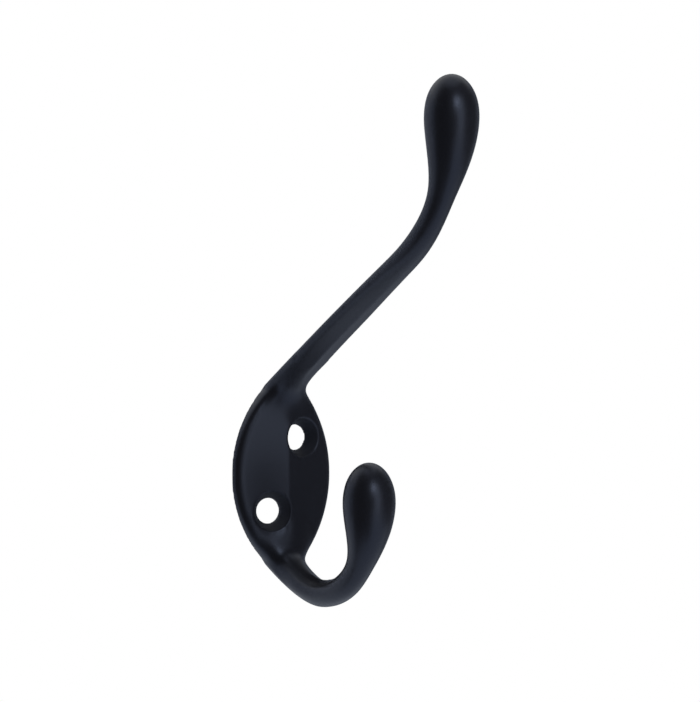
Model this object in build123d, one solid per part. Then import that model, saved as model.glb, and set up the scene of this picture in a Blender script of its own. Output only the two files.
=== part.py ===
from build123d import *
import math
import os

# Wall hook, cast in one piece: a leaf-shaped plate, a long arm above it and a short curled hook below.
# Millimetres. X runs across the hook, the wall is the plane Y = 0, the hook reaches out along -Y, Z is up.
# The origin is the middle of the plate's flat back.

# Plate; the leaf's tips are cut off level inside the roots of the arms, where it is plate_cut_width wide
plate_width = 23.6
plate_leaf_height = 42.8
plate_cut_width = 8.3
plate_middle_thickness = 4.1
plate_rim_thickness = 2.0
plate_rim_radius = 1.4
plate_ridge_radius = 2.0

# Screw holes, one high on the right and one low on the left, each square to its half of the plate
hole_from_middle = 3.75
hole_from_centre = 7.7
screw_diameter = 5.0
screw_clearance = 0.4
countersink_diameter = 8.4
screw_hole_length = 0.9

# Upper arm, seen from the side: straight from the wall, then a bend that ends upright
upper_root_height = 17.7
upper_climb = 28.3
upper_straight_length = 53.1
upper_bend_start_pull = 10.3
upper_bend_end_pull = 15.9
upper_reach = 64.8
upper_belly_height = 71.2
upper_root_width = 8.6
upper_root_growth = 2.4
upper_hollow_radius = 8.5
upper_arm_width = 9.0
upper_arm_thickness = 3.8
upper_neck_diameter = 5.1
upper_swell_length = 19.2

# Lower hook, seen from the side: down from the wall, round the bottom, then upright
lower_root_height = 17.0
lower_drop = 41.4
lower_drop_pull = 5.0
lower_bottom_out = 17.1
lower_bottom_depth = 24.0
lower_bottom_pull = 4.5
lower_rise_pull = 18.0
lower_reach = 35.3
lower_belly_height = -4.3
lower_root_width = 9.0
lower_root_growth = 0.6
lower_hollow_radius = 7.0
lower_arm_width = 5.7
lower_arm_thickness = 5.8
lower_neck_diameter = 5.3
lower_swell_length = 16.4

# Both ends close in the same drop-shaped knob; its last section is a spot too small to see
knob_diameter = 10.7
knob_cap_height = 7.9
knob_closing_angle = 87.0

# Each arm carries on the plate's ridge between two flat slopes, which turn round before the neck
ridge_slope = 20.0
ridge_share = 0.65
flat_handle = 0.82
flat_side_handle = 0.3
full_side_handle = 0.9
round_handle = 4 / 3 * (math.sqrt(2) - 1)

# How fast an arm loses the extra width and thickness of its root
root_narrowing_length = 7.0

# The hollow between plate and arm turns on past the arm's crest, until it is nearly level
hollow_turn = 88.0

# Sections that each arm is drawn through, closer together at the wall
shaft_sections = 14
crowding_at_wall = 1.3
swell_sections = 5
cap_sections = 5

# Places and directions that differ by less than this count as the same
touching = 0.01


def side_point(out, up):
    """A point of the middle plane, so far out from the wall and so far up."""
    return (0, -out, up)


def ease(share):
    """Goes smoothly from 0 to 1 as the share does."""
    return (1 - math.cos(math.pi * share)) / 2


def between(start, end, share):
    return start + (end - start) * share


def plate_fall():
    """How much thinner the plate gets for each millimetre away from its ridge."""
    return (plate_middle_thickness - plate_rim_thickness) / (plate_width / 2)


def ridged_oval(path, distance, width, crest, back, slope, roundness, fullness, crest_side):
    """One section across an arm: two slopes that meet in a crest on one side, a round back on the other."""
    half = width / 2
    slope_reach = half * between(flat_handle, round_handle, roundness)
    side_handle = between(flat_side_handle, round_handle, roundness)
    side_handle = between(side_handle, full_side_handle, fullness)
    side_pull = crest_side * crest * side_handle
    top = crest_side * crest
    shoulder = crest_side * (crest - slope_reach * math.tan(math.radians(slope)))
    bottom = -crest_side * back
    back_reach = half * round_handle
    back_pull = bottom * round_handle
    outline = Wire(
        [
            Bezier((half, 0), (half, side_pull), (slope_reach, shoulder), (0, top)),
            Bezier((0, top), (-slope_reach, shoulder), (-half, side_pull), (-half, 0)),
            Bezier((-half, 0), (-half, back_pull), (-back_reach, bottom), (0, bottom)),
            Bezier((0, bottom), (back_reach, bottom), (half, back_pull), (half, 0)),
        ]
    )
    middle = path.position_at(distance, PositionMode.LENGTH)
    heading = path.tangent_at(distance, PositionMode.LENGTH)
    return Plane(origin=middle, x_dir=(1, 0, 0), z_dir=heading).location * Face(outline)


def round_section(path, distance, radius, crest_side):
    return ridged_oval(path, distance, 2 * radius, radius, radius, 0, 1, 0, crest_side)


def arm(path, root_width, root_growth, arm_width, thickness, neck_diameter, swell_length, crest_side):
    """An arm along its path: ridged from the wall on, round at the neck, closed by a knob at its end."""
    belly = path.length - knob_cap_height
    neck = belly - swell_length
    plate_slope = math.degrees(math.atan(plate_fall()))
    sections = []
    for step in range(shaft_sections + 1):
        share = (step / shaft_sections) ** crowding_at_wall
        distance = neck * share
        near_wall = math.exp(-distance / root_narrowing_length)
        taper = ease(share) ** 3
        roundness = ease(max(0, share - ridge_share) / (1 - ridge_share))
        width = between(arm_width, neck_diameter, taper) + (root_width - arm_width) * near_wall
        back = between(thickness, neck_diameter, taper) / 2
        crest = back + root_growth * near_wall
        slope = between(ridge_slope, plate_slope, near_wall) * (1 - roundness)
        section = ridged_oval(path, distance, width, crest, back, slope, roundness, near_wall, crest_side)
        sections.append(section)
    for step in range(1, swell_sections + 1):
        radius = between(neck_diameter, knob_diameter, ease(step / swell_sections)) / 2
        distance = between(neck, belly, step / swell_sections)
        sections.append(round_section(path, distance, radius, crest_side))
    for step in range(1, cap_sections + 1):
        angle = math.radians(knob_closing_angle * math.sin(math.pi / 2 * step / cap_sections))
        radius = knob_diameter / 2 * math.cos(angle)
        distance = belly + knob_cap_height * math.sin(angle)
        sections.append(round_section(path, distance, radius, crest_side))
    return loft(sections)


def upper_path():
    climb = math.radians(upper_climb)
    bend_out = upper_straight_length * math.cos(climb)
    bend_up = upper_root_height + upper_straight_length * math.sin(climb)
    pull_out = bend_out + upper_bend_start_pull * math.cos(climb)
    pull_up = bend_up + upper_bend_start_pull * math.sin(climb)
    straight = Line(side_point(0, upper_root_height), side_point(bend_out, bend_up))
    bend = Bezier(
        straight @ 1,
        side_point(pull_out, pull_up),
        side_point(upper_reach, upper_belly_height - upper_bend_end_pull),
        side_point(upper_reach, upper_belly_height),
    )
    cap = Line(bend @ 1, side_point(upper_reach, upper_belly_height + knob_cap_height))
    return Wire([straight, bend, cap])


def lower_path():
    drop = math.radians(lower_drop)
    pull_down = lower_root_height + lower_drop_pull * math.sin(drop)
    down = Bezier(
        side_point(0, -lower_root_height),
        side_point(lower_drop_pull * math.cos(drop), -pull_down),
        side_point(lower_bottom_out - lower_bottom_pull, -lower_bottom_depth),
        side_point(lower_bottom_out, -lower_bottom_depth),
    )
    up = Bezier(
        down @ 1,
        side_point(lower_bottom_out + lower_bottom_pull, -lower_bottom_depth),
        side_point(lower_reach, lower_belly_height - lower_rise_pull),
        side_point(lower_reach, lower_belly_height),
    )
    cap = Line(up @ 1, side_point(lower_reach, lower_belly_height + knob_cap_height))
    return Wire([down, up, cap])


def root_hollow(root_height, slope, half_thickness, radius, side):
    """The filling in the corner of plate and arm, hollow in front; side is 1 above the plate, -1 below it.

    Its arc leaves the plate's front upright and touches the crest of the arm on its way out. Each half of
    the filling follows the slope of its half of the plate.
    """
    steep = math.radians(slope)
    turn = math.radians(hollow_turn)
    crest_height = root_height - half_thickness / math.cos(steep)
    centre_out = plate_middle_thickness + radius
    centre_up = crest_height + math.tan(steep) * centre_out - radius / math.cos(steep)
    middle_out = centre_out - radius * math.cos(turn / 2)
    middle_up = centre_up + radius * math.sin(turn / 2)
    end_out = centre_out - radius * math.cos(turn)
    end_up = centre_up + radius * math.sin(turn)
    back_start = side_point(0, side * centre_up)
    start = side_point(plate_middle_thickness, side * centre_up)
    middle = side_point(middle_out, side * middle_up)
    end = side_point(end_out, side * end_up)
    back_end = side_point(0, side * end_up)
    outline = Wire(
        [
            Line(back_start, start),
            ThreePointArc(start, middle, end),
            Line(end, back_end),
            Line(back_end, back_start),
        ]
    )
    right_half = extrude(Face(outline), amount=plate_width / 2, dir=(1, plate_fall(), 0))
    left_half = extrude(Face(outline), amount=plate_width / 2, dir=(-1, plate_fall(), 0))
    return right_half + left_half


def on_ridge(edge):
    """Whether an edge belongs to the line in which the two slopes of the front meet."""
    middle = edge @ 0.5
    climbs = abs((edge % 0.5).Z) > touching
    return abs(middle.X) < touching and middle.Y < -plate_rim_thickness and climbs


def stands_at_the_side(face):
    """Whether a face is one of the plate's narrow side walls, which follow the arcs of the leaf."""
    normal = face.normal_at()
    return abs(normal.Y) < touching and abs(normal.X) > touching


def on_rim(edge):
    """Whether an edge of a side wall is its front one: not the back one, nor one that runs straight out."""
    return (edge @ 0.5).Y < -touching and abs((edge % 0.5).Y) < 1 - touching


def leaf_plate():
    """The plate with the fillings under both arms: flat behind, ridged in front, between two arcs."""
    half_width = plate_width / 2
    half_height = plate_leaf_height / 2
    right_arc = ThreePointArc((0, 0, -half_height), (half_width, 0, 0), (0, 0, half_height))
    left_arc = ThreePointArc((0, 0, half_height), (-half_width, 0, 0), (0, 0, -half_height))
    leaf = extrude(Face(Wire([right_arc, left_arc])), amount=plate_width, dir=(0, -1, 0))
    ridged_section = Polygon(
        (-half_width, 0),
        (half_width, 0),
        (half_width, -plate_rim_thickness),
        (0, -plate_middle_thickness),
        (-half_width, -plate_rim_thickness),
        align=None,
    )
    front = extrude(Pos(0, 0, -half_height) * ridged_section, amount=plate_leaf_height, dir=(0, 0, 1))
    front += root_hollow(upper_root_height, upper_climb, upper_arm_thickness / 2, upper_hollow_radius, 1)
    front += root_hollow(lower_root_height, lower_drop, lower_arm_thickness / 2, lower_hollow_radius, -1)
    front = fillet(front.edges().filter_by(on_ridge), plate_ridge_radius)
    arc_radius = (half_height**2 + half_width**2) / plate_width
    cut_height = math.sqrt(arc_radius**2 - (arc_radius - half_width + plate_cut_width / 2) ** 2)
    plate = leaf & front & Box(2 * plate_width, 2 * plate_width, 2 * cut_height)
    rim = plate.faces().filter_by(stands_at_the_side).edges().filter_by(on_rim)
    return fillet(rim, plate_rim_radius)


def screw_hole(side):
    """The space of one countersunk hole; side is 1 for the high one on the right, -1 for the low one."""
    tilt = math.atan(plate_fall())
    front = plate_middle_thickness - hole_from_middle * plate_fall()
    depth = front / math.cos(tilt)
    mouth = Plane(
        origin=(side * hole_from_middle, -front, side * hole_from_centre),
        x_dir=(0, 0, 1),
        z_dir=(side * math.sin(tilt), -math.cos(tilt), 0),
    )
    radius = (screw_diameter + screw_clearance) / 2
    sink_depth = depth - screw_hole_length
    widening = (countersink_diameter / 2 - radius) / sink_depth
    over = 1
    sink = Cone(
        radius,
        countersink_diameter / 2 + widening * over,
        sink_depth + over,
        align=(Align.CENTER, Align.CENTER, Align.MIN),
    )
    bore = Cylinder(radius, 2 * depth)
    return mouth.location * (Pos(0, 0, -sink_depth) * sink + Pos(0, 0, -depth) * bore)


casting = leaf_plate()
casting += arm(
    upper_path(),
    upper_root_width,
    upper_root_growth,
    upper_arm_width,
    upper_arm_thickness,
    upper_neck_diameter,
    upper_swell_length,
    -1,
)
casting += arm(
    lower_path(),
    lower_root_width,
    lower_root_growth,
    lower_arm_width,
    lower_arm_thickness,
    lower_neck_diameter,
    lower_swell_length,
    1,
)
behind_wall = Box(
    2 * plate_width,
    plate_width,
    4 * plate_leaf_height,
    align=(Align.CENTER, Align.MIN, Align.CENTER),
)
casting -= behind_wall
casting -= screw_hole(1)
casting -= screw_hole(-1)

os.makedirs("parts", exist_ok=True)
export_step(casting, "parts/hook_casting.step")
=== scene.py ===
# %% [markdown]
# # A cast wall hook, painted satin black
#
# The object is one casting: a leaf-shaped plate with a soft upright ridge, a long upper arm, a short curled
# lower hook, and a drop-shaped knob on the end of each. It comes out of one mould and is painted once.
#
# The exact form was drawn in CAD and is loaded here as a frame in metres. Blender adds what the mould and
# the paint do to that form: soft edges, flowing roots, a thin satin film and the studio that it reflects.

import math

import bmesh
import bpy
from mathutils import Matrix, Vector


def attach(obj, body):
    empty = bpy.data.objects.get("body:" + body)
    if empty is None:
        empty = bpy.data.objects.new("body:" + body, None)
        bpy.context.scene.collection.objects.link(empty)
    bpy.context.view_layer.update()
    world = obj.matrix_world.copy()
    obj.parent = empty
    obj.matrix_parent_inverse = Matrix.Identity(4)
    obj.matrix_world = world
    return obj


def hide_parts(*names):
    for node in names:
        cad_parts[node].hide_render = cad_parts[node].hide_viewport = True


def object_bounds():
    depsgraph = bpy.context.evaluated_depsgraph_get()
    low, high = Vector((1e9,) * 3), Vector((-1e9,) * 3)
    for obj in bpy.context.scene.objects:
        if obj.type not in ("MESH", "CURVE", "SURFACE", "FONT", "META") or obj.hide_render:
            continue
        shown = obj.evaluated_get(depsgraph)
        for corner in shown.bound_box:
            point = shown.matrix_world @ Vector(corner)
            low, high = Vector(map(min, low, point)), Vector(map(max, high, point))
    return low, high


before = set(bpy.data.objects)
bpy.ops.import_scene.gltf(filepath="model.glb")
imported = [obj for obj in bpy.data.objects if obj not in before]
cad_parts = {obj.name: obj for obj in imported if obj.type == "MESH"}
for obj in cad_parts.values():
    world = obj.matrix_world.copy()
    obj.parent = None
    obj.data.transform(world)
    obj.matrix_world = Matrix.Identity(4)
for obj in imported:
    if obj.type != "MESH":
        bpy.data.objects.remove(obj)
millimetre = 0.001
cad_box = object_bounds()
hook_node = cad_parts["hook_casting"]
print("CAD box in metres:", cad_box)

# %% [markdown]
# ## The camera
#
# The picture was taken level with the hook, from 32 degrees to the left of straight in front, with a long
# lens. A camera could also be placed by eye, but an angle, a distance and an aim say the same thing in a
# few numbers. The long lens keeps the upright edges parallel, and the aim puts the hook where the picture
# has it.

# %% Place the camera
camera_turn = math.radians(32.0)
camera_distance = 591.25 * millimetre
camera_nearest = 10.0 * millimetre
camera_aim = Vector((17.52, 0.0, 25.97)) * millimetre
camera_lens = 141.03

to_camera = Vector((-math.sin(camera_turn), -math.cos(camera_turn), 0.0))
to_camera_right = Vector((math.cos(camera_turn), -math.sin(camera_turn), 0.0))
camera = bpy.data.objects.new("camera", bpy.data.cameras.new("camera"))
camera.data.lens = camera_lens
camera.data.clip_start = camera_nearest
camera.location = camera_aim + to_camera * camera_distance
camera.rotation_euler = (-to_camera).to_track_quat("-Z", "Y").to_euler()
bpy.context.scene.collection.objects.link(camera)
bpy.context.scene.camera = camera
print("camera at", tuple(round(value, 4) for value in camera.location))

# %% [markdown]
# ## The casting
#
# A CAD mesh is loose triangles: long slivers on the flats and short strips round the bends. Shaded smooth,
# such triangles show as streaks in a satin finish. One way is to model the hook again by hand. Here the CAD
# form is already right, so a merged copy of it is covered with a skin of small even faces instead. The skin
# is then rubbed down, the way a pattern maker rubs down a pattern before a mould is made from it.

# %% Merge a copy of the CAD triangles
merge_distance = 0.001 * millimetre

skin = bmesh.new()
skin.from_mesh(hook_node.data)
bmesh.ops.remove_doubles(skin, verts=skin.verts, dist=merge_distance)
casting_mesh = bpy.data.meshes.new("casting")
skin.to_mesh(casting_mesh)
skin.free()
casting = bpy.data.objects.new("casting", casting_mesh)
bpy.context.scene.collection.objects.link(casting)
print("merged casting:", len(casting_mesh.vertices), "points")

# %% Cover it with small even faces
skin_face = 0.262 * millimetre


def apply_modifiers(piece):
    """Gives the piece the mesh that its modifiers make, and takes the modifiers off."""
    bpy.context.view_layer.update()
    shaped = bpy.data.meshes.new_from_object(piece.evaluated_get(bpy.context.evaluated_depsgraph_get()))
    piece.modifiers.clear()
    piece.data = shaped


even_faces = casting.modifiers.new("even_faces", "REMESH")
even_faces.mode = "VOXEL"
even_faces.voxel_size = skin_face
apply_modifiers(casting)
print("even skin:", len(casting.data.vertices), "points")

# %% [markdown]
# ## Soft edges
#
# A casting has no sharp edge: the mould rounds every corner a little, and the paint rounds it once more. A
# bevel would need clean edges to follow, and this skin has none. Smoothing needs none: a few passes over the
# whole skin round each corner by a fraction of a millimetre. More passes, in bands that narrow towards the
# plate's outline, round the rim broadly, and the narrow sides of the upper arm get some of their own. The
# crisp edges of the screw holes get a single pass.

# %% Rub down the whole skin
smoothing_strength = 0.5
edge_passes = 4
hole_edge_passes = 1
screw_holes = (Vector((3.75, 0.0, 7.7)) * millimetre, Vector((-3.75, 0.0, -7.7)) * millimetre)
hole_reach = 4.8 * millimetre


def rub(mesh, points, passes):
    """Moves each point towards the middle of its neighbours, as many times as there are passes."""
    for _ in range(passes):
        bmesh.ops.smooth_vert(
            mesh,
            verts=points,
            factor=smoothing_strength,
            use_axis_x=True,
            use_axis_y=True,
            use_axis_z=True,
        )


def near_hole(place):
    """Whether a place, seen square to the wall, is in a countersink or at its edge."""
    return any((place - hole).xz.length < hole_reach for hole in screw_holes)


skin = bmesh.new()
skin.from_mesh(casting.data)
by_the_holes = [point for point in skin.verts if near_hole(point.co)]
elsewhere = [point for point in skin.verts if not near_hole(point.co)]
rub(skin, by_the_holes, hole_edge_passes)
rub(skin, elsewhere, edge_passes)
print("rubbed down:", len(by_the_holes), "points by the holes and", len(elsewhere), "elsewhere")

# %% Round the rim of the plate
plate_half_width = 11.8 * millimetre
plate_arc_radius = 25.3 * millimetre
flat_back_depth = 0.5 * millimetre
plate_front_depth = 4.0 * millimetre
rim_half_height = 17.0 * millimetre
rim_widths = (3.2 * millimetre, 2.7 * millimetre, 2.2 * millimetre, 1.7 * millimetre)
rim_passes = 12


def inside_rim(place):
    """How far a place on the plate's front is from the leaf's outline; the leaf is two arcs."""
    return plate_arc_radius - math.hypot(abs(place.x) + plate_arc_radius - plate_half_width, place.z)


def on_rim(place, width):
    """Whether a place is on the plate's front, near its outline and clear of both countersinks."""
    if place.y > -flat_back_depth or place.y < -plate_front_depth or abs(place.z) > rim_half_height:
        return False
    if inside_rim(place) > width:
        return False
    return not near_hole(place)


for width in rim_widths:
    band = [point for point in skin.verts if on_rim(point.co, width)]
    rub(skin, band, rim_passes)
    print("rim band:", round(width / millimetre, 1), "mm wide,", len(band), "points")

# %% Ease the narrow sides of the upper arm
arm_side = 3.2 * millimetre
arm_side_start = 13.0 * millimetre
arm_side_end = 48.0 * millimetre
arm_side_passes = 14


def on_arm_side(place):
    """Whether a place is on one of the two narrow sides of the upper arm's straight part."""
    if abs(place.x) <= arm_side or place.z <= arm_side_start:
        return False
    return arm_side_start < -place.y < arm_side_end


arm_sides = [point for point in skin.verts if on_arm_side(point.co)]
rub(skin, arm_sides, arm_side_passes)
print("eased arm:", len(arm_sides), "points on its sides")

# %% Press the back flat again
for point in skin.verts:
    point.co.y = min(point.co.y, 0.0)
skin.to_mesh(casting.data)
print("casting skin:", len(skin.faces), "faces, open edges:", sum(edge.is_boundary for edge in skin.edges))
skin.free()

# %% [markdown]
# ## The hollows at the roots
#
# Each arm flows into the plate through a hollow that fades out on both, because a sharp inner corner would
# crack as the metal cools. A rolled fillet would end in a line. A smoothing modifier that works through a
# vertex group does not: its weight is full in the corner and fades to nothing before the screw holes, the
# rim and the flat back. Before that, the lower corner takes a little metal, and the leaf swells slightly
# beside each root, so that its outline runs on into the arm's.

# %% Weigh the two corners
upper_corner = Vector((0.0, -6.5, 14.5)) * millimetre
lower_corner = Vector((0.0, -6.0, -16.0)) * millimetre
upper_reach = 12.0 * millimetre
lower_reach = 9.5 * millimetre
full_share_of_reach = 0.5
upper_middle_height = 17.7 * millimetre
upper_middle_climb = math.tan(math.radians(28.3))
lower_middle_height = -17.0 * millimetre
lower_middle_climb = -math.tan(math.radians(41.4))

# Each pair says where a weight starts and where it is full
inside_arm = (0.0, 1.5 * millimetre)
inside_sides = (7.0 * millimetre, 4.0 * millimetre)
off_the_back = (0.8 * millimetre, 1.8 * millimetre)
off_a_hole = (4.4 * millimetre, 6.4 * millimetre)


def fade(value, start, full):
    """Goes smoothly from 0 at the start to 1 where it is full."""
    share = min(1.0, max(0.0, (value - start) / (full - start)))
    return share * share * (3.0 - 2.0 * share)


def corner_weight(place, corner, reach, inside):
    """How much a place belongs to the hollow corner on the inner side of an arm's middle line."""
    weight = fade((place - corner).length, reach, full_share_of_reach * reach)
    weight *= fade(inside, *inside_arm)
    weight *= fade(abs(place.x), *inside_sides)
    weight *= fade(-place.y, *off_the_back)
    for hole in screw_holes:
        weight *= fade((place - hole).xz.length, *off_a_hole)
    return weight


def upper_weight(place):
    """Weighs the corner below the upper arm, whose middle line climbs away from the plate."""
    below_middle = upper_middle_height - upper_middle_climb * place.y - place.z
    return corner_weight(place, upper_corner, upper_reach, below_middle)


def lower_weight(place):
    """Weighs the corner above the lower arm, whose middle line falls away from the plate."""
    above_middle = place.z - lower_middle_height + lower_middle_climb * place.y
    return corner_weight(place, lower_corner, lower_reach, above_middle)


print("weights in the corners:", upper_weight(upper_corner), "and", lower_weight(lower_corner))

# %% Fill the lower corner and swell the leaf
lower_fill = Vector((0.0, -0.6, 0.1)) * millimetre
shoulder_growth = 0.03
shoulder_reach = 2.0 * millimetre
shoulder_depth = (6.0 * millimetre, 3.0 * millimetre)
upper_shoulder = 17.2 * millimetre
lower_shoulder = -18.2 * millimetre


def on_shoulder(place):
    """Is 1 beside a root, where the leaf's outline turns into the arm's, and fades to 0 around it."""
    beside = fade(abs(place.z - upper_shoulder), shoulder_reach, 0.0)
    beside += fade(abs(place.z - lower_shoulder), shoulder_reach, 0.0)
    return beside * fade(-place.y, *shoulder_depth)


for point in casting.data.vertices:
    point.co += lower_fill * lower_weight(point.co)
    point.co.x *= 1.0 + shoulder_growth * on_shoulder(point.co)
casting.data.update()
swollen_points = sum(on_shoulder(point.co) > 0.0 for point in casting.data.vertices)
print("swollen leaf:", swollen_points, "points beside the roots")

# %% Let the roots flow
hollow_passes = 300


def flow(name, weigh):
    """Adds a modifier that smooths the skin broadly, as much as each point weighs."""
    group = casting.vertex_groups.new(name=name)
    for point in casting.data.vertices:
        weight = weigh(point.co)
        if weight > 0.0:
            group.add([point.index], weight, "REPLACE")
    broad = casting.modifiers.new(name, "SMOOTH")
    broad.vertex_group = name
    broad.factor = smoothing_strength
    broad.iterations = hollow_passes


flow("upper_hollow", upper_weight)
flow("lower_hollow", lower_weight)
apply_modifiers(casting)
casting.vertex_groups.clear()
for polygon in casting.data.polygons:
    polygon.use_smooth = True
print("roots flow:", len(casting.data.vertices), "points")

# %% [markdown]
# ## Shader sums in Python
#
# A material is a net of nodes, and a sum such as `1 - mask` takes a Math node and its links. This small
# class wraps one output socket, so that the same sum is written as Python and the nodes appear by
# themselves. Every other node comes from one function, which takes its settings and what goes into its
# sockets.

# %% A socket that can be added, subtracted and multiplied


class Value:
    """One output socket of a node tree, with the operators that this file uses."""

    def __init__(self, tree, socket):
        self.tree = tree
        self.socket = socket

    def math(self, operation, first, second):
        return node(self.tree, "ShaderNodeMath", {"operation": operation}, {0: first, 1: second})

    def __add__(self, other):
        return self.math("ADD", self, other)

    def __radd__(self, other):
        return self.math("ADD", other, self)

    def __sub__(self, other):
        return self.math("SUBTRACT", self, other)

    def __rsub__(self, other):
        return self.math("SUBTRACT", other, self)

    def __mul__(self, other):
        return self.math("MULTIPLY", self, other)

    def __rmul__(self, other):
        return self.math("MULTIPLY", other, self)


def node(tree, kind, settings, inputs, output=0):
    """Adds one node: its settings first, then the values or links of its sockets.

    Gives one of its outputs back, and nothing where it has none.
    """
    made = tree.nodes.new(kind)
    for name, setting in settings.items():
        setattr(made, name, setting)
    for name, given in inputs.items():
        if isinstance(given, Value):
            tree.links.new(given.socket, made.inputs[name])
        else:
            made.inputs[name].default_value = given
    if len(made.outputs) == 0:
        return None
    return Value(tree, made.outputs[output])


print("operators of a socket: + - *")

# %% Helpers for the materials
mix_first = 6
mix_second = 7
mix_result = 2
noise_roughness = 0.5


def empty_material(name):
    """A new material with an empty node tree."""
    material = bpy.data.materials.new(name)
    material.use_nodes = True
    material.node_tree.nodes.clear()
    return material


def noise(tree, place, size, detail):
    """A cloudy pattern from 0 to 1 whose blotches are about so many metres across."""
    inputs = {"Vector": place, "Scale": 1.0 / size, "Detail": detail, "Roughness": noise_roughness}
    return node(tree, "ShaderNodeTexNoise", {}, inputs)


def mix_colours(tree, share, first, second):
    """Goes from the first colour to the second; a Mix node has its colours on the sockets numbered above."""
    inputs = {"Factor": share, mix_first: first, mix_second: second}
    return node(tree, "ShaderNodeMix", {"data_type": "RGBA"}, inputs, mix_result)


def distance_from(tree, place, centre, weights):
    """How far a place is from a centre, with each axis multiplied by its weight."""
    apart = node(tree, "ShaderNodeVectorMath", {"operation": "SUBTRACT"}, {0: place, 1: centre})
    weighed = node(tree, "ShaderNodeVectorMath", {"operation": "MULTIPLY"}, {0: apart, 1: weights})
    return node(tree, "ShaderNodeVectorMath", {"operation": "LENGTH"}, {0: weighed}, "Value")


def fade_node(tree, value, start, full):
    """Goes smoothly from 0 at the start to 1 where it is full, as fade does, but in a shader."""
    inputs = {"Value": value, "From Min": start, "From Max": full}
    return node(tree, "ShaderNodeMapRange", {"interpolation_type": "SMOOTHSTEP"}, inputs)


print("materials in the file so far:", len(bpy.data.materials))

# %% [markdown]
# ## Black satin paint
#
# The paint is a thin baked film. It is nearly black with a trace of blue, and its gloss is satin: lamps show
# as soft bright patches. Under a lens the film has a very fine orange peel, it lies a little thicker in some
# places than in others, and handling leaves a faint cloud in the gloss. A flat black would hide all that, so
# colour, roughness and bump each get a little noise at the size that the real film has. In the countersinks
# the film dries duller than on the open faces, so a mask raises the roughness there.

# %% Mask the countersinks
sink_edge = 4.4 * millimetre
sink_full = 3.9 * millimetre
sink_weights = (1.0, 0.3, 1.0)


def in_the_sink(tree, place, hole):
    """A mask that is 1 inside a countersink and 0 around it; it is a ball drawn out along Y."""
    return fade_node(tree, distance_from(tree, place, hole, sink_weights), sink_edge, sink_full)


print("dull paint up to", round(sink_edge / millimetre, 1), "mm from the middle of each hole")

# %% Mix the paint
paint_black = (0.0044, 0.0042, 0.0054, 1.0)
paint_thin = (0.0062, 0.0060, 0.0078, 1.0)
paint_shine = 0.38
paint_tint = (0.6, 0.71, 1.0, 1.0)
paint_roughness = 0.36
paint_cloud = 0.06
sink_dryness = 0.3
cloud_size = 9.0 * millimetre
cloud_detail = 3.0
cloud_middle = 0.5
peel_size = 0.55 * millimetre
peel_detail = 2.0
peel_height = 0.0035 * millimetre
peel_strength = 1.0


def black_satin_paint():
    """The paint of the whole casting."""
    paint = empty_material("black_satin_paint")
    tree = paint.node_tree
    place = node(tree, "ShaderNodeTexCoord", {}, {}, "Object")
    cloud = noise(tree, place, cloud_size, cloud_detail)
    peel = noise(tree, place, peel_size, peel_detail)
    high_sink, low_sink = (in_the_sink(tree, place, hole) for hole in screw_holes)
    dryness = sink_dryness * (high_sink + low_sink)
    peel_inputs = {"Strength": peel_strength, "Distance": peel_height, "Height": peel}
    surface = node(
        tree,
        "ShaderNodeBsdfPrincipled",
        {},
        {
            "Base Color": mix_colours(tree, cloud, paint_black, paint_thin),
            "Roughness": paint_roughness + paint_cloud * (cloud - cloud_middle) + dryness,
            "Specular IOR Level": paint_shine,
            "Specular Tint": paint_tint,
            "Normal": node(tree, "ShaderNodeBump", {}, peel_inputs),
        },
    )
    node(tree, "ShaderNodeOutputMaterial", {}, {"Surface": surface})
    return paint


casting.data.materials.clear()
casting.data.materials.append(black_satin_paint())
print("paint on", len(casting.data.polygons), "faces")

# %% [markdown]
# ## The studio
#
# Black paint shows its form only by what it reflects. The hook stood in white surroundings over a white
# table, with a tall soft lamp almost straight in front of it and a smaller one higher up. The camera's own
# side of the room was dark, and that dark gives the knobs their deep middle. Black cards do that here, and
# grey ones further round tone the edges down. Only reflections see them, so they hide nothing in other
# views. The table also mirrors a little cooler than it looks, which keeps the undersides of the arms blue.

# %% Light the white room
room_white = 1.0
room_fill = 0.8
plain_white = (1.0, 1.0, 1.0, 1.0)


def background_ray(tree):
    """Is 1 for a ray that shows the surroundings: straight to the camera, mirrored or through glass."""
    straight = node(tree, "ShaderNodeLightPath", {}, {}, "Is Camera Ray")
    mirrored = node(tree, "ShaderNodeLightPath", {}, {}, "Is Glossy Ray")
    through = node(tree, "ShaderNodeLightPath", {}, {}, "Is Transmission Ray")
    seen = node(tree, "ShaderNodeMath", {"operation": "MAXIMUM"}, {0: straight, 1: mirrored})
    return node(tree, "ShaderNodeMath", {"operation": "MAXIMUM"}, {0: seen, 1: through})


world = bpy.data.worlds.new("white_room")
bpy.context.scene.world = world
world.use_nodes = True
room = world.node_tree
room.nodes.clear()
strength = room_fill + (room_white - room_fill) * background_ray(room)
white = node(room, "ShaderNodeBackground", {}, {"Color": plain_white, "Strength": strength})
node(room, "ShaderNodeOutputWorld", {}, {"Surface": white})
print("white room:", len(room.nodes), "nodes")

# %% Hang the lamps
upwards = Vector((0.0, 0.0, 1.0))


def direction_from_hook(right, up):
    """A direction from the hook, so many degrees to the right of the camera and so many up."""
    level = to_camera * math.cos(math.radians(right)) + to_camera_right * math.sin(math.radians(right))
    return level * math.cos(math.radians(up)) + upwards * math.sin(math.radians(up))


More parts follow.
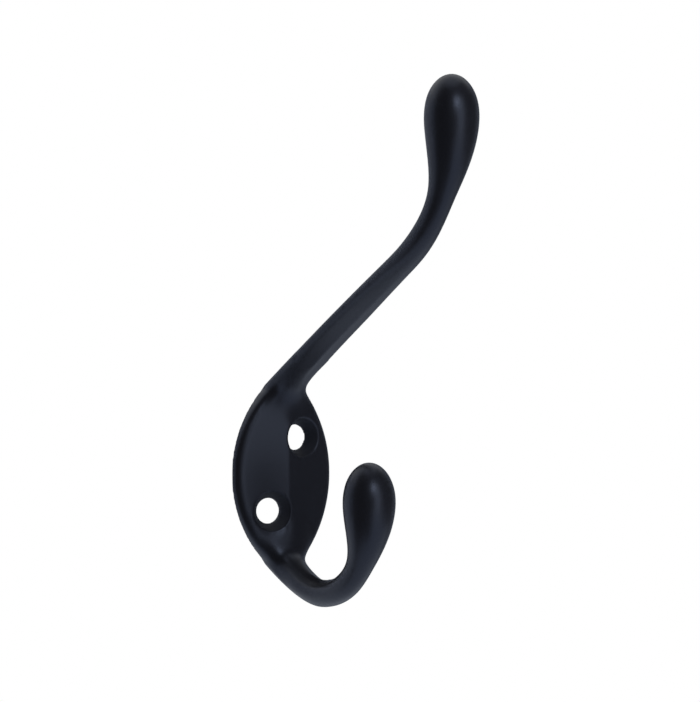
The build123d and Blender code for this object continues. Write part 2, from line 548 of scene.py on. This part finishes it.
def soft_lamp(name, right, up, distance, width, height, watts):
    """A soft box that looks at the hook from the given direction."""
    lamp = bpy.data.objects.new(name, bpy.data.lights.new(name, "AREA"))
    lamp.data.shape = "RECTANGLE"
    lamp.data.size = width
    lamp.data.size_y = height
    lamp.data.energy = watts
    away = direction_from_hook(right, up)
    lamp.location = camera_aim + away * distance
    lamp.rotation_euler = (-away).to_track_quat("-Z", "Y").to_euler()
    bpy.context.scene.collection.objects.link(lamp)
    print(name, "at", tuple(round(value, 3) for value in lamp.location))


soft_lamp("tall_lamp", right=37.0, up=0.0, distance=0.9, width=0.45, height=1.2, watts=3.0)
soft_lamp("high_lamp", right=20.0, up=26.0, distance=0.9, width=0.2, height=0.2, watts=1.4)

# %% Choose the papers


def matt_paper(name, shade):
    """Paper without any gloss, in one shade."""
    paper = empty_material(name)
    matt = node(paper.node_tree, "ShaderNodeBsdfDiffuse", {}, {"Color": shade})
    node(paper.node_tree, "ShaderNodeOutputMaterial", {}, {"Surface": matt})
    return paper


black_paper = matt_paper("black_paper", (0.01, 0.01, 0.01, 1.0))
dark_grey_paper = matt_paper("dark_grey_paper", (0.14, 0.15, 0.17, 1.0))
grey_paper = matt_paper("grey_paper", (0.28, 0.31, 0.38, 1.0))
light_grey_paper = matt_paper("light_grey_paper", (0.42, 0.46, 0.56, 1.0))
pale_paper = matt_paper("pale_paper", (0.68, 0.73, 0.85, 1.0))
print("materials in the file now:", len(bpy.data.materials))

# %% Stand the cards
floor_drop = 0.2
floor_height = cad_box[0][2] - floor_drop
card_distance = 1.3
card_lift = 2.0 * millimetre
card_steps = 12


def card(name, paper, from_right, to_right, front, top):
    """A sheet that only reflections see, between two angles right of the camera.

    It lies on the floor from its front edge to the card distance and stands upright from there to its top.
    """
    sheet = bmesh.new()
    level = direction_from_hook(from_right, 0.0)
    low = Vector((0.0, 0.0, floor_height + card_lift))
    high = Vector((0.0, 0.0, camera_aim.z + top))
    centre = Vector((camera_aim.x, camera_aim.y, 0.0))
    points = [
        sheet.verts.new(centre + level * front + low),
        sheet.verts.new(centre + level * card_distance + low),
        sheet.verts.new(centre + level * card_distance + high),
    ]
    edges = [sheet.edges.new(points[:2]), sheet.edges.new(points[1:])]
    bmesh.ops.spin(
        sheet,
        geom=points + edges,
        cent=camera_aim,
        axis=upwards,
        angle=math.radians(to_right - from_right),
        steps=card_steps,
        use_duplicate=False,
    )
    mesh = bpy.data.meshes.new(name)
    sheet.to_mesh(mesh)
    sheet.free()
    piece = bpy.data.objects.new(name, mesh)
    bpy.context.scene.collection.objects.link(piece)
    piece.visible_camera = False
    piece.visible_diffuse = False
    piece.visible_shadow = False
    piece.visible_transmission = False
    piece.data.materials.append(paper)
    print(name, "has", len(mesh.polygons), "faces")


card("card_behind_camera", black_paper, from_right=-78.0, to_right=12.0, front=0.22, top=2.6)
card("card_in_front", black_paper, from_right=12.0, to_right=62.0, front=0.9, top=2.6)
card("card_on_the_right", dark_grey_paper, from_right=62.0, to_right=115.0, front=0.5, top=2.6)
card("card_behind_right", grey_paper, from_right=115.0, to_right=200.0, front=0.3, top=0.9)
card("card_behind_left", light_grey_paper, from_right=200.0, to_right=228.0, front=0.6, top=0.6)
card("card_on_the_left", pale_paper, from_right=228.0, to_right=282.0, front=0.6, top=0.6)

# %% Lay the white floor
floor_radius = 4.0
floor_edges = 64

floor_form = bmesh.new()
bmesh.ops.create_circle(floor_form, cap_ends=True, radius=floor_radius, segments=floor_edges)
bmesh.ops.translate(floor_form, verts=floor_form.verts, vec=(0.0, 0.0, floor_height))
floor_mesh = bpy.data.meshes.new("floor")
floor_form.to_mesh(floor_mesh)
floor_form.free()
floor = bpy.data.objects.new("floor", floor_mesh)
bpy.context.scene.collection.objects.link(floor)
print("floor at", round(floor_height, 4), "metres")

# %% Cover the floor with white paper
shadow_radius = 0.3
white_radius = 0.9
paper_white = (0.9, 0.9, 0.9, 1.0)
paper_cool = (0.76, 0.83, 0.95, 1.0)
floor_middle = (0.0, 0.0, 0.0)
level_weights = (1.0, 1.0, 0.0)


def white_paper():
    """White paper that takes the shadow near the hook and fades to plain white further out."""
    paper = empty_material("white_paper")
    tree = paper.node_tree
    place = node(tree, "ShaderNodeTexCoord", {}, {}, "Object")
    distance = distance_from(tree, place, floor_middle, level_weights)
    far = fade_node(tree, distance, shadow_radius, white_radius)
    mirrored = node(tree, "ShaderNodeLightPath", {}, {}, "Is Glossy Ray")
    colour = mix_colours(tree, mirrored, paper_white, paper_cool)
    matt = node(tree, "ShaderNodeBsdfDiffuse", {}, {"Color": colour})
    plain = node(tree, "ShaderNodeEmission", {}, {"Color": plain_white, "Strength": room_white})
    both = node(tree, "ShaderNodeMixShader", {}, {0: far * background_ray(tree), 1: matt, 2: plain})
    node(tree, "ShaderNodeOutputMaterial", {}, {"Surface": both})
    return paper


floor.data.materials.append(white_paper())
print("floor paper:", floor.data.materials[0].name)

# %% Set the view
bpy.context.scene.view_settings.view_transform = "Standard"
print("view transform:", bpy.context.scene.view_settings.view_transform)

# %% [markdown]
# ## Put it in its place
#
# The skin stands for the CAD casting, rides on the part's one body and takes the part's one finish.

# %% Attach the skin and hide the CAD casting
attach(casting, "root")
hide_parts("hook_casting")
